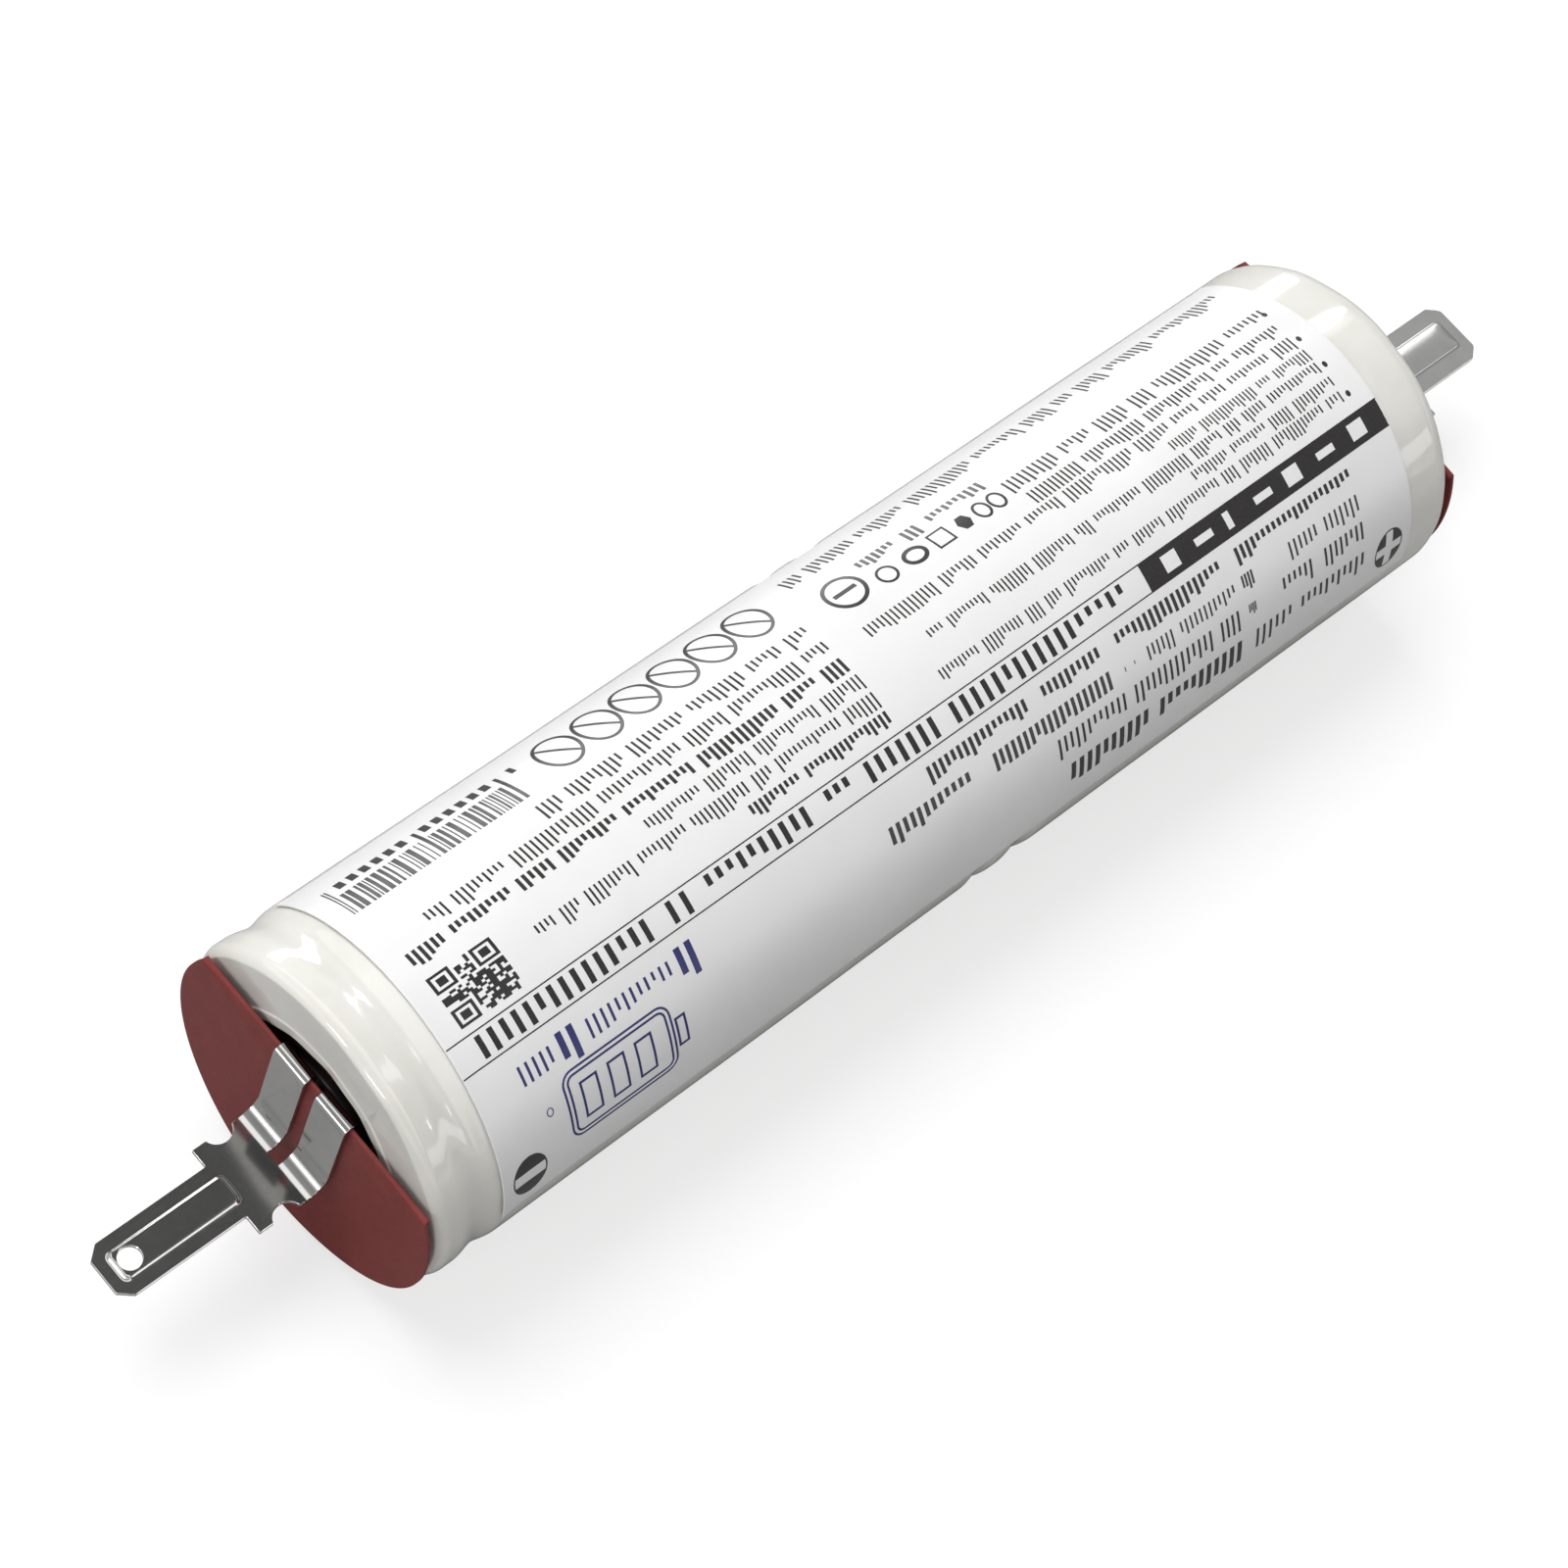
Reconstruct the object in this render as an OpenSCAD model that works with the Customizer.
// Two-cell cylindrical nickel metal hydride stick pack with blade terminals.
// The pack lies along X. The origin is on its axis, midway between the ends of
// the outer sleeve. +Z is the normal of both blades. The narrow blade is at -X.
// Both cells have their crimped lid end towards -X. All lengths are in mm.

/* [Outer sleeve] */
// Outside radius of the heat-shrink outer sleeve
sleeve_r = 11.4; // [11.3:0.1:11.8]
// Wall of the outer sleeve
sleeve_t = 0.23; // [0.15:0.01:0.25]
// Depth of the shallow neck that the sleeve draws into over each can's bead
neck_depth = 0.26; // [0.15:0.01:0.3]
// Depth of the dip over the joint between the two cells
joint_depth = 0.30; // [0.15:0.01:0.3]
// Radius of the opening left by the sleeve's lip at the -X end
mouth_near_r = 6.6; // [6.5:0.1:7.4]
// Radius of the opening left by the sleeve's lip at the +X end
mouth_far_r = 6.9; // [6.8:0.1:7.6]

/* [Label] */
// Length of the printed label along the pack
label_len = 77.4; // [60:0.2:80]
// Thickness of the label sheet
label_t = 0.1; // [0.05:0.01:0.15]
// Angle the label covers around the pack
label_arc = 147; // [90:1:180]
// Angle from +Z towards -Y at which the label's middle lies
label_mid = 11.6; // [0:0.1:30]

/* [Cell] */
// Height of one cell's can, from its bottom to its crimped shoulder
cell_h = 42.3; // [41:0.1:44]
// Wall of the can
can_t = 0.35; // [0.25:0.01:0.4]
// Radius of the can's rounded bottom and shoulder
can_corner = 1.4; // [1.3:0.05:1.5]
// Height of the cap's top above the shoulder
cap_rise = 0.38; // [0.3:0.01:0.45]
// Radius of the positive cap
cap_r = 4.9; // [4.5:0.1:5.1]
// Wall of the film sleeve on each cell
film_t = 0.12; // [0.08:0.01:0.12]
// Gap between the near can's bottom and the far can's shoulder
stack_gap = 1.1; // [1.1:0.05:1.4]

/* [Safety vent] */
// Radius of the vent port in the lid
port_r = 1.2; // [0.8:0.1:1.6]
// Radius of the rubber seal that closes the port
seal_r = 2.6; // [2.2:0.1:3.0]
// Wire radius of the vent spring
wire_r = 0.11; // [0.08:0.01:0.12]
// Mean radius of the vent spring
spring_r = 1.9; // [1.5:0.1:2.2]
// Active turns of the vent spring
spring_turns = 2.5; // [2:0.5:3]

/* [Wound electrodes] */
// Thickness of the positive electrode strip
pos_t = 0.60; // [0.5:0.01:0.62]
// Thickness of the negative electrode strip
neg_t = 0.34; // [0.25:0.01:0.36]
// Thickness of each separator sheet
sep_t = 0.11; // [0.08:0.01:0.12]
// Radius of the open core the roll is wound around
core_r = 1.7; // [1.5:0.1:1.8]
// Full turns in the roll
turns = 6; // [4:1:6]

/* [Terminals] */
// Thickness of the nickel-plated terminal strip
term_t = 0.3; // [0.25:0.01:0.35]
// Height of the fold of each fibre insulator above the pack's axis
fold_z = 5.07; // [4.6:0.01:5.1]
// Height of the blades' upper face (below the axis when negative)
blade_z = -2.52; // [-3.5:0.01:-2]
// Inside radius of the bend that turns each strip into its blade
bend_r = 1.1; // [0.6:0.1:1.5]
// Width of the narrow blade
near_blade_w = 3.8; // [2.8:0.1:4.8]
// Width of the wide blade
far_blade_w = 4.8; // [4.8:0.1:6.3]
// Distance of the narrow blade's tip from the end of the sleeve
near_tip = 14.7; // [13:0.1:16]
// Distance of the wide blade's tip from the end of the sleeve
far_tip = 14.7; // [13:0.1:16]
// Radius of the hole in the narrow blade
blade_hole_r = 0.75; // [0.5:0.05:0.8]
// Height of the raised panel pressed into each blade
emboss = 0.2; // [0.1:0.01:0.22]
// Lean of the strips' outer legs, in degrees
lean = 1.5; // [0.4:0.1:2]

/* [Fibre insulators] */
// Radius of each fibre disc before it is folded
leaf_r = 11.2; // [10.6:0.1:11.3]
// Lean of the outer leaf at the -X end, in degrees
leaf_lean = 0.4; // [0:0.1:0.4]
// Thickness of the fibre sheet
leaf_t = 0.2; // [0.1:0.01:0.2]

/* [Hidden] */
$fn = 96;

clearance = 0.02;                          // between assembled parts
overlap = 0.01;                            // joins the parts of a rounded section

// radii of the nested layers
sleeve_in = sleeve_r - sleeve_t;
film_r = sleeve_in - 0.03;
film_in = film_r - film_t;
can_r = film_in - clearance;
can_in = can_r - can_t;

// can: heights are measured from its bottom
bead_z = cell_h - 3.1;                     // middle of the rolled bead
bead_r = 1.3;                              // outside radius of the bead's groove
bead_centre_r = can_r + 0.2;
crimp_z = cell_h - can_t;                  // underside of the crimped lip
can_mouth_r = 8.8;                         // opening inside the crimped lip
floor_t = 0.45;
floor_corner = 0.6;                        // inside radius around the can's floor

// lid and cap
lid_r = 10;
lid_t = 0.5;
lid_top = cell_h - 0.85;
lid_bottom = lid_top - lid_t;
dish_r = 5.6;
dish_top = cell_h - 2.35;                  // floor of the lid's dish
dish_bottom = dish_top - lid_t;
cap_t = 0.3;
cap_top = cell_h + cap_rise;

// vent stack
seal_t = 0.9;
plate_t = 0.2;
seal_z = dish_top + clearance;
plate_z = seal_z + seal_t;
spring_z0 = plate_z + plate_t + wire_r;
spring_z1 = cap_top - cap_t - wire_r - clearance;

// roll: the layers wind outwards as separator, positive, separator, negative
collector_t = 0.2;
roll_z = floor_t + collector_t + 2 * clearance;  // lower edge of the negative strip
upper_z = bead_z - 2.28;                   // underside of the upper collector
layer_gap = 0.02;
pos_r = core_r + sep_t + layer_gap;
outer_sep_r = pos_r + pos_t + layer_gap;
neg_r = outer_sep_r + sep_t + layer_gap;
half_pitch = (neg_r + neg_t + layer_gap - core_r) / 2;

// places along the pack
near_floor_x = -stack_gap / 2;
far_floor_x = stack_gap / 2 + cell_h;
lip_gap = film_t + 0.05;                   // can end to the sleeve lip's inner face
end_x = far_floor_x + lip_gap + sleeve_t;  // end plane of the sleeve
neck_arc_r = 4.2;                          // arc radius of a neck of no depth
near_corner = 0.8;                         // sleeve's outside corner at -X
far_corner = 1.7;                          // sleeve's outside corner at +X

// outer faces of the welded feet, measured outwards from the sleeve's end
far_foot_out = far_floor_x - end_x + term_t;
near_foot_out = far_foot_out + cap_rise;

ivory = [0.90, 0.89, 0.86];
white = [0.96, 0.96, 0.96];
fibre = [0.45, 0.18, 0.17];
nickel = [0.62, 0.62, 0.60];
steel = [0.72, 0.73, 0.74];
plastic = [0.85, 0.86, 0.82];
rubber = [0.12, 0.12, 0.12];
positive_mix = [0.20, 0.24, 0.20];
negative_mix = [0.16, 0.16, 0.17];
separator_white = [0.93, 0.93, 0.90];
film_grey = [0.55, 0.60, 0.62];

// ---------- helpers ----------

// Half section of a round body between two heights, with rounded corners
module rounded_half(r, z0, z1, low_corner, high_corner) {
  translate([0, z0]) square([r - low_corner, low_corner + overlap]);
  translate([0, z0 + low_corner]) square([r, z1 - z0 - low_corner - high_corner]);
  translate([0, z1 - high_corner - overlap])
    square([r - high_corner, high_corner + overlap]);
  translate([r - low_corner, z0 + low_corner]) circle(low_corner);
  translate([r - high_corner, z1 - high_corner]) circle(high_corner);
}

// Round cutter that draws one layer into a neck at height z
module neck(layer_r, z, depth) {
  translate([sleeve_r + neck_arc_r, z]) circle(neck_arc_r + depth + sleeve_r - layer_r);
}

// Outside of one cell at a given layer
module cell_half(layer_r, z0, z1, corner) {
  difference() {
    rounded_half(layer_r, z0, z1, corner, corner);
    neck(layer_r, bead_z, neck_depth);
  }
}

// Hollow of the can, inset by a gap
module can_hollow(gap) {
  difference() {
    rounded_half(can_in - gap, floor_t + gap, crimp_z - gap,
                 floor_corner, can_corner - can_t);
    neck(can_in - gap, bead_z, neck_depth);
    translate([bead_centre_r, bead_z]) circle(bead_r + can_t + gap);
  }
}

module washer(height, outer_r, inner_r) {
  difference() {
    cylinder(h = height, r = outer_r);
    translate([0, 0, -1]) cylinder(h = 3, r = inner_r);
  }
}

module flat_ring(inner_r, wall) {
  difference() {
    circle(inner_r + wall);
    circle(inner_r);
  }
}

// Upper half of a ring: the fold of a sheet over its top
module fold_arc(centre_x, centre_z, inner_r, wall) {
  intersection() {
    translate([centre_x, centre_z]) flat_ring(inner_r, wall);
    translate([-5, centre_z]) square([10, 5]);
  }
}

// Sheet side on, shifted by run along x at its bottom
module leaning_leg(inner_x, wall, top_z, bottom_z, run) {
  polygon([[inner_x, top_z], [inner_x + wall, top_z],
           [inner_x + wall + run, bottom_z], [inner_x + run, bottom_z]]);
}

// Extrudes an x-z profile across the pack, centred on its axis
module across(width) {
  rotate([90, 0, 0]) linear_extrude(width, center = true) children();
}

// Stand a cell's part, built up from z = 0, in its place along the pack
module near_cell() {
  translate([near_floor_x, 0, 0]) rotate([0, -90, 0]) children();
}

module far_cell() {
  translate([far_floor_x, 0, 0]) rotate([0, -90, 0]) children();
}

// Place an end part, whose x runs outwards from the end of the sleeve
module near_end() {
  translate([-end_x, 0, 0]) mirror([1, 0, 0]) children();
}

module far_end() {
  translate([end_x, 0, 0]) children();
}

// Spiral strip built from half rings on two centres
module spiral(start_r, wall, z0, z1) {
  translate([0, 0, z0]) linear_extrude(z1 - z0)
    for (i = [0 : 2 * turns - 1])
      let (upper = i % 2 == 0)
        translate([upper ? 0 : half_pitch, 0])
          intersection() {
            flat_ring(start_r + i * half_pitch, wall);
            translate([-20, upper ? 0 : -20]) square([40, 20]);
          }
}

// Four radial slot cutters, open at a collector's rim
module collector_slots(first_angle, z, height) {
  slot_start = 4;
  slot_w = 1;
  for (a = [first_angle : 90 : first_angle + 270])
    rotate([0, 0, a]) translate([slot_start, -slot_w / 2, z]) cube([6, slot_w, height]);
}

// ---------- one cell ----------

// Drawn steel can with its rolled bead and crimped shoulder
module can() {
  color(steel) rotate_extrude() difference() {
    cell_half(can_r, 0, cell_h, can_corner);
    translate([bead_centre_r, bead_z]) circle(bead_r);
    can_hollow(0);
    translate([0, bead_z]) square([can_mouth_r, 10]);
  }
}

// Nylon gasket that wraps the lid's rim under the crimp
module gasket() {
  inner_r = 8.7;
  bottom_z = bead_z + 0.6;
  color(plastic) rotate_extrude() difference() {
    intersection() {
      can_hollow(clearance);
      translate([inner_r, bottom_z]) square([4, crimp_z - bead_z]);
    }
    translate([0, lid_bottom - clearance])
      square([lid_r + clearance, lid_t + 2 * clearance]);
  }
}

// Dished lid plate with the vent port in its middle
module lid() {
  groove_r = 0.25;                         // cut around the dish's lower outside edge
  color(nickel) rotate_extrude() difference() {
    union() {
      translate([dish_r, lid_bottom]) square([lid_r - dish_r, lid_t]);
      translate([dish_r, dish_bottom]) square([lid_t, lid_top - dish_bottom]);
      translate([port_r, dish_bottom]) square([dish_r - port_r, lid_t]);
    }
    translate([dish_r + lid_t, dish_bottom]) circle(groove_r);
  }
}

// Positive cap: a welded hat with three gas outlets in its wall
module cap() {
  flange_w = 3;                            // from the inside of the wall
  corner = 0.3;
  edge_inset = 0.2;                        // where wall and top stop at the corner
  outlet_r = 0.22;
  outlet_rise = 0.58;
  color(nickel) difference() {
    rotate_extrude() {
      translate([cap_r - cap_t, lid_top]) square([flange_w, cap_t]);
      translate([cap_r - cap_t, lid_top]) square([cap_t, cap_top - lid_top - edge_inset]);
      translate([0, cap_top - cap_t]) square([cap_r - edge_inset, cap_t]);
      translate([cap_r - corner, cap_top - corner]) circle(corner);
    }
    for (a = [60 : 120 : 300])
      rotate([0, 0, a]) translate([0, 0, lid_top + outlet_rise]) rotate([0, 90, 0])
        cylinder(h = 10, r = outlet_r);
  }
}

// Rubber seal that the spring holds on the vent port
module vent_seal() {
  corner = 0.2;
  color(rubber) translate([0, 0, seal_z]) rotate_extrude() {
    square([seal_r - corner, seal_t]);
    translate([0, corner]) square([seal_r, seal_t - 2 * corner]);
    for (z = [corner, seal_t - corner])
      translate([seal_r - corner, z]) circle(corner);
  }
}

// Steel backing plate that spreads the spring's load over the seal
module vent_plate() {
  color(steel) translate([0, 0, plate_z])
    washer(height = plate_t, outer_r = seal_r - 0.1, inner_r = 0.5);
}

// Helical vent spring: octagonal wire sections joined along the coil
module vent_spring() {
  steps = round(spring_turns * 24);
  sides = 8;
  points = [
    for (i = [0 : steps])
      let (a = 360 * spring_turns * i / steps,
           z = spring_z0 + (spring_z1 - spring_z0) * i / steps)
        for (j = [0 : sides - 1])
          let (b = 360 * (j + 0.5) / sides,
               r = spring_r + wire_r * cos(b) / cos(180 / sides))
            [r * cos(a), r * sin(a), z + wire_r * sin(b)]
  ];
  side_faces = [
    for (i = [0 : steps - 1])
      for (j = [0 : sides - 1])
        let (here = i * sides, ahead = here + sides, next = (j + 1) % sides)
          [here + j, ahead + j, ahead + next, here + next]
  ];
  start_face = [for (j = [0 : sides - 1]) j];
  end_face = [for (j = [sides - 1 : -1 : 0]) steps * sides + j];
  color(steel) polyhedron(points, concat(side_faces, [start_face, end_face]));
}

// Fibre washer around the cap
module top_washer() {
  color(fibre) translate([0, 0, lid_top + cap_t + clearance])
    washer(height = 0.45, outer_r = 8.55, inner_r = cap_r + 0.35);
}

// Disc welded to the positive strip's edge, with its lead up to the lid
module upper_collector() {
  disc_r = 8.8;
  lead_w = 4;
  lead_t = 0.15;
  lead_x = 2.2;                            // inner face of the upright
  flap_x = -2.4;                           // free end of the flap under the lid
  flap_z = dish_bottom - clearance - lead_t;
  color(nickel) difference() {
    union() {
      translate([0, 0, upper_z]) cylinder(h = collector_t, r = disc_r);
      across(lead_w) {
        translate([lead_x, upper_z]) square([lead_t, flap_z - upper_z]);
        translate([flap_x, flap_z]) square([lead_x + lead_t - flap_x, lead_t]);
      }
    }
    translate([0, 0, upper_z - 1]) cylinder(h = 1.3, r = core_r - 0.2);
    collector_slots(first_angle = 45, z = upper_z - 1, height = 1.5);
  }
}

// Disc welded to the negative strip's edge and to the can's floor
module lower_collector() {
  disc_r = 9.0;
  color(nickel) translate([0, 0, floor_t + clearance]) difference() {
    cylinder(h = collector_t, r = disc_r);
    collector_slots(first_angle = 0, z = -1, height = 2);
  }
}

// Plastic ring that keeps the roll away from the bead
module insulating_ring() {
  color(plastic) translate([0, 0, upper_z + collector_t + 0.06])
    washer(height = 0.3, outer_r = can_in - 0.05, inner_r = 6.8);
}

// The positive strip reaches up to the upper collector
module positive_electrode() {
  color(positive_mix) spiral(pos_r, pos_t, roll_z + 0.8, upper_z - clearance);
}

// The negative strip reaches down to the lower collector
module negative_electrode() {
  color(negative_mix) spiral(neg_r, neg_t, roll_z, upper_z - 1.2);
}

// Two separator sheets, one on each face of the positive strip
module separator() {
  color(separator_white)
    for (start_r = [core_r, outer_sep_r])
      spiral(start_r, sep_t, roll_z + 0.4, upper_z - 0.5);
}

// Film sleeve shrunk over one can, open in the middle of each end
module cell_film() {
  opening_r = 8;
  outset = film_t + clearance;
  color(film_grey) rotate_extrude() difference() {
    cell_half(film_r, -outset, cell_h + outset, can_corner + outset);
    cell_half(film_in, -clearance, cell_h + clearance, can_corner + clearance);
    translate([0, -5]) square([opening_r, cell_h + 10]);
  }
}

// ---------- pack ----------

// Nickel strip welded to the near can's floor and folded onto the far cap
module cell_link() {
  far_cap_x = stack_gap / 2 - cap_rise;
  wall = 0.2;
  width = 7;
  bottom_z = -5;
  arc_z = 6.5;                             // where the legs meet the fold
  slot_w = 0.8;
  slot_top = 3;
  fold_r = (far_cap_x - near_floor_x - 2 * wall) / 2;
  color(nickel) difference() {
    across(width) {
      for (x = [near_floor_x, far_cap_x - wall])
        translate([x, bottom_z]) square([wall, arc_z - bottom_z]);
      fold_arc((near_floor_x + far_cap_x) / 2, arc_z, fold_r, wall);
    }
    translate([-5, -slot_w / 2, bottom_z - 1]) cube([10, slot_w, slot_top - bottom_z + 1]);
  }
}

// Fibre ring between the cells, around the far cap
module cell_spacer_ring() {
  height = min(0.2, cap_rise - film_t - 2 * clearance);
  color(fibre) translate([stack_gap / 2 - film_t - 2 * clearance - height, 0, 0])
    rotate([0, 90, 0]) washer(height, outer_r = 10.4, inner_r = cap_r + 0.3);
}

// Formed terminal. x runs outwards from the end of the sleeve.
// foot_out: outer face of the welded foot; top_gap: rise of the hook's inside
// above the insulator's fold; half_w: half width of the strip;
// ear_start, ear_end: extent of the ears; ear_half_w: half width at the ears;
// panel_half_w: half width of the raised panel; hole_r: 0 for no hole
module terminal(foot_out, top_gap, half_w, ear_start, ear_end, ear_half_w, blade_w,
                tip, panel_half_w, hole_r) {
  foot_bottom = -3.4;
  leg_in = 0.78;                           // inner face of the outer leg
  hook_r = (leg_in - foot_out) / 2;
  hook_z = fold_z + top_gap - hook_r;
  bend_z = blade_z + bend_r;
  lean_run = tan(lean) * (hook_z - bend_z);
  plate_x = leg_in + term_t + lean_run + bend_r;  // where the flat plate starts
  flare_x = plate_x + 0.4;                 // where it reaches the ears' width
  blade_bottom = blade_z - term_t;
  blade_half_w = blade_w / 2;
  notch_r = 1;
  notch_y = ear_half_w + 0.28;
  tip_cut_x = 0.85;                        // tip chamfer along the blade
  tip_half_w = blade_half_w - tip_cut_x * 0.85;
  panel_x = ear_end - 0.35;
  panel_len = tip - 0.9 - panel_x;
  panel_wall = 0.15;                       // around the recess under the panel
  slot_w = 1;
  hole_x = tip - 1.85;
  color(nickel) difference() {
    union() {
      // foot, hook, leg and bend
      across(2 * half_w) {
        translate([foot_out - term_t, foot_bottom]) square([term_t, hook_z - foot_bottom]);
        fold_arc((leg_in + foot_out) / 2, hook_z, hook_r, term_t);
        leaning_leg(leg_in, term_t, hook_z, bend_z, lean_run);
        intersection() {
          translate([plate_x, bend_z]) flat_ring(bend_r, term_t);
          translate([plate_x - 5, bend_z - 5]) square([5, 5]);
        }
      }
      // flat plate with ears and blade
      translate([0, 0, blade_bottom]) linear_extrude(term_t)
        difference() {
          polygon([
            [plate_x, -half_w], [flare_x, -ear_half_w],
            [ear_end, -ear_half_w], [ear_end, -blade_half_w],
            [tip - tip_cut_x, -blade_half_w], [tip, -tip_half_w],
            [tip, tip_half_w], [tip - tip_cut_x, blade_half_w],
            [ear_end, blade_half_w], [ear_end, ear_half_w],
            [flare_x, ear_half_w], [plate_x, half_w]
          ]);
          for (side = [-1, 1])
            translate([ear_start - notch_r, side * notch_y]) circle(notch_r);
        }
      // raised panel
      translate([panel_x, -panel_half_w, blade_bottom + emboss])
        cube([panel_len, 2 * panel_half_w, term_t]);
    }
    // recess under the raised panel
    translate([panel_x + panel_wall, -panel_half_w + panel_wall, blade_bottom - 1])
      cube([panel_len - 2 * panel_wall, 2 * (panel_half_w - panel_wall), 1 + emboss]);
    // slot that parts the two prongs
    translate([-2, -slot_w / 2, -6]) cube([plate_x + 2 - 0.1, slot_w, 14]);
    // hole near the tip
    if (hole_r > 0)
      translate([hole_x, 0, blade_z - 2]) cylinder(h = 4, r = hole_r);
  }
}

// Terminal with the narrow blade, on the near cap
module near_terminal() {
  terminal(foot_out = near_foot_out, top_gap = 0.02, half_w = 3.2,
           ear_start = 5.0, ear_end = 5.94, ear_half_w = 3.15,
           blade_w = near_blade_w, tip = near_tip,
           panel_half_w = 0.95, hole_r = blade_hole_r);
}

// Terminal with the wide blade, on the far can's floor
module far_terminal() {
  terminal(foot_out = far_foot_out, top_gap = 0.05, half_w = 3.8,
           ear_start = 7.4, ear_end = 8.3, ear_half_w = 4.05,
           blade_w = far_blade_w, tip = far_tip,
           panel_half_w = 1.15, hole_r = 0);
}

// Folded fibre disc: a short inner leaf, the fold, and the long outer leaf.
// x runs outwards from the end of the sleeve.
// leaf_in, leaf_out: inner face of the inner leaf, outer face of the outer leaf;
// disc_r: radius before folding; tilt: lean of the outer leaf, in degrees
module folded_insulator(leaf_in, leaf_out, disc_r, tilt) {
  outer_fold_r = (leaf_out - leaf_in) / 2;
  arc_z = fold_z - outer_fold_r;
  bottom_z = -12;                          // below the disc's edge
  color(fibre) {
    intersection() {
      across(30) {
        leaning_leg(leaf_out - leaf_t, leaf_t, arc_z, bottom_z,
                    tan(tilt) * (arc_z - bottom_z));
        fold_arc((leaf_out + leaf_in) / 2, arc_z, outer_fold_r - leaf_t, leaf_t);
      }
      disc_outline(disc_r, 0);
    }
    // the inner leaf's edge is the disc's edge mirrored in the fold
    intersection() {
      translate([leaf_in, -15, -15]) cube([leaf_t, 30, 15 + arc_z]);
      disc_outline(disc_r, 2 * fold_z);
    }
  }
}

// Cylinder along x that trims a leaf to the disc's edge
module disc_outline(r, z) {
  translate([-5, 0, z]) rotate([0, 90, 0]) cylinder(h = 20, r = r);
}

module near_fibre_insulator() {
  folded_insulator(leaf_in = 0.3, leaf_out = 0.76, disc_r = leaf_r, tilt = leaf_lean);
}

module far_fibre_insulator() {
  folded_insulator(leaf_in = 0.02, leaf_out = 0.48, disc_r = leaf_r - 0.3, tilt = 0);
}

// Heat-shrink outer sleeve: straight wall, necks over the beads and the joint,
// and a lip over each end
module outer_sleeve() {
  color(ivory) rotate([0, 90, 0]) rotate_extrude() difference() {
    sleeve_half(0);
    sleeve_half(sleeve_t);
    translate([0, -60]) square([mouth_near_r, 60]);
    square([mouth_far_r, 60]);
  }
}

// Half section of the sleeve's outside, inset by a wall
module sleeve_half(inset) {
  r = sleeve_r - inset;
  difference() {
    rounded_half(r, inset - end_x, end_x - inset, near_corner - inset, far_corner - inset);
    neck(r, near_floor_x - bead_z, neck_depth);
    neck(r, far_floor_x - bead_z, neck_depth);
    neck(r, 0, joint_depth);
  }
}

// Printed label sheet stuck on the sleeve
module label() {
  color(white) rotate([0, 90, 0])
    rotate([0, 0, 180 + label_mid - label_arc / 2])
      rotate_extrude(angle = label_arc)
        translate([sleeve_r + 0.005, -label_len / 2]) square([label_t, label_len]);
}

near_cell() can();  // near_can
near_cell() gasket();  // near_gasket
near_cell() lid();  // near_lid
near_cell() cap();  // near_cap
near_cell() vent_seal();  // near_vent_seal
near_cell() vent_plate();  // near_vent_plate
near_cell() vent_spring();  // near_vent_spring
near_cell() top_washer();  // near_top_washer
near_cell() upper_collector();  // near_upper_collector
near_cell() lower_collector();  // near_lower_collector
near_cell() insulating_ring();  // near_insulating_ring
near_cell() positive_electrode();  // near_positive_electrode
near_cell() negative_electrode();  // near_negative_electrode
near_cell() separator();  // near_separator
near_cell() cell_film();  // near_cell_film
far_cell() can();  // far_can
far_cell() gasket();  // far_gasket
far_cell() lid();  // far_lid
far_cell() cap();  // far_cap
far_cell() vent_seal();  // far_vent_seal
far_cell() vent_plate();  // far_vent_plate
far_cell() vent_spring();  // far_vent_spring
far_cell() top_washer();  // far_top_washer
far_cell() upper_collector();  // far_upper_collector
far_cell() lower_collector();  // far_lower_collector
far_cell() insulating_ring();  // far_insulating_ring
far_cell() positive_electrode();  // far_positive_electrode
far_cell() negative_electrode();  // far_negative_electrode
far_cell() separator();  // far_separator
far_cell() cell_film();  // far_cell_film
cell_link();
cell_spacer_ring();
near_end() near_terminal();
far_end() far_terminal();
near_end() near_fibre_insulator();
far_end() far_fibre_insulator();
outer_sleeve();
label();
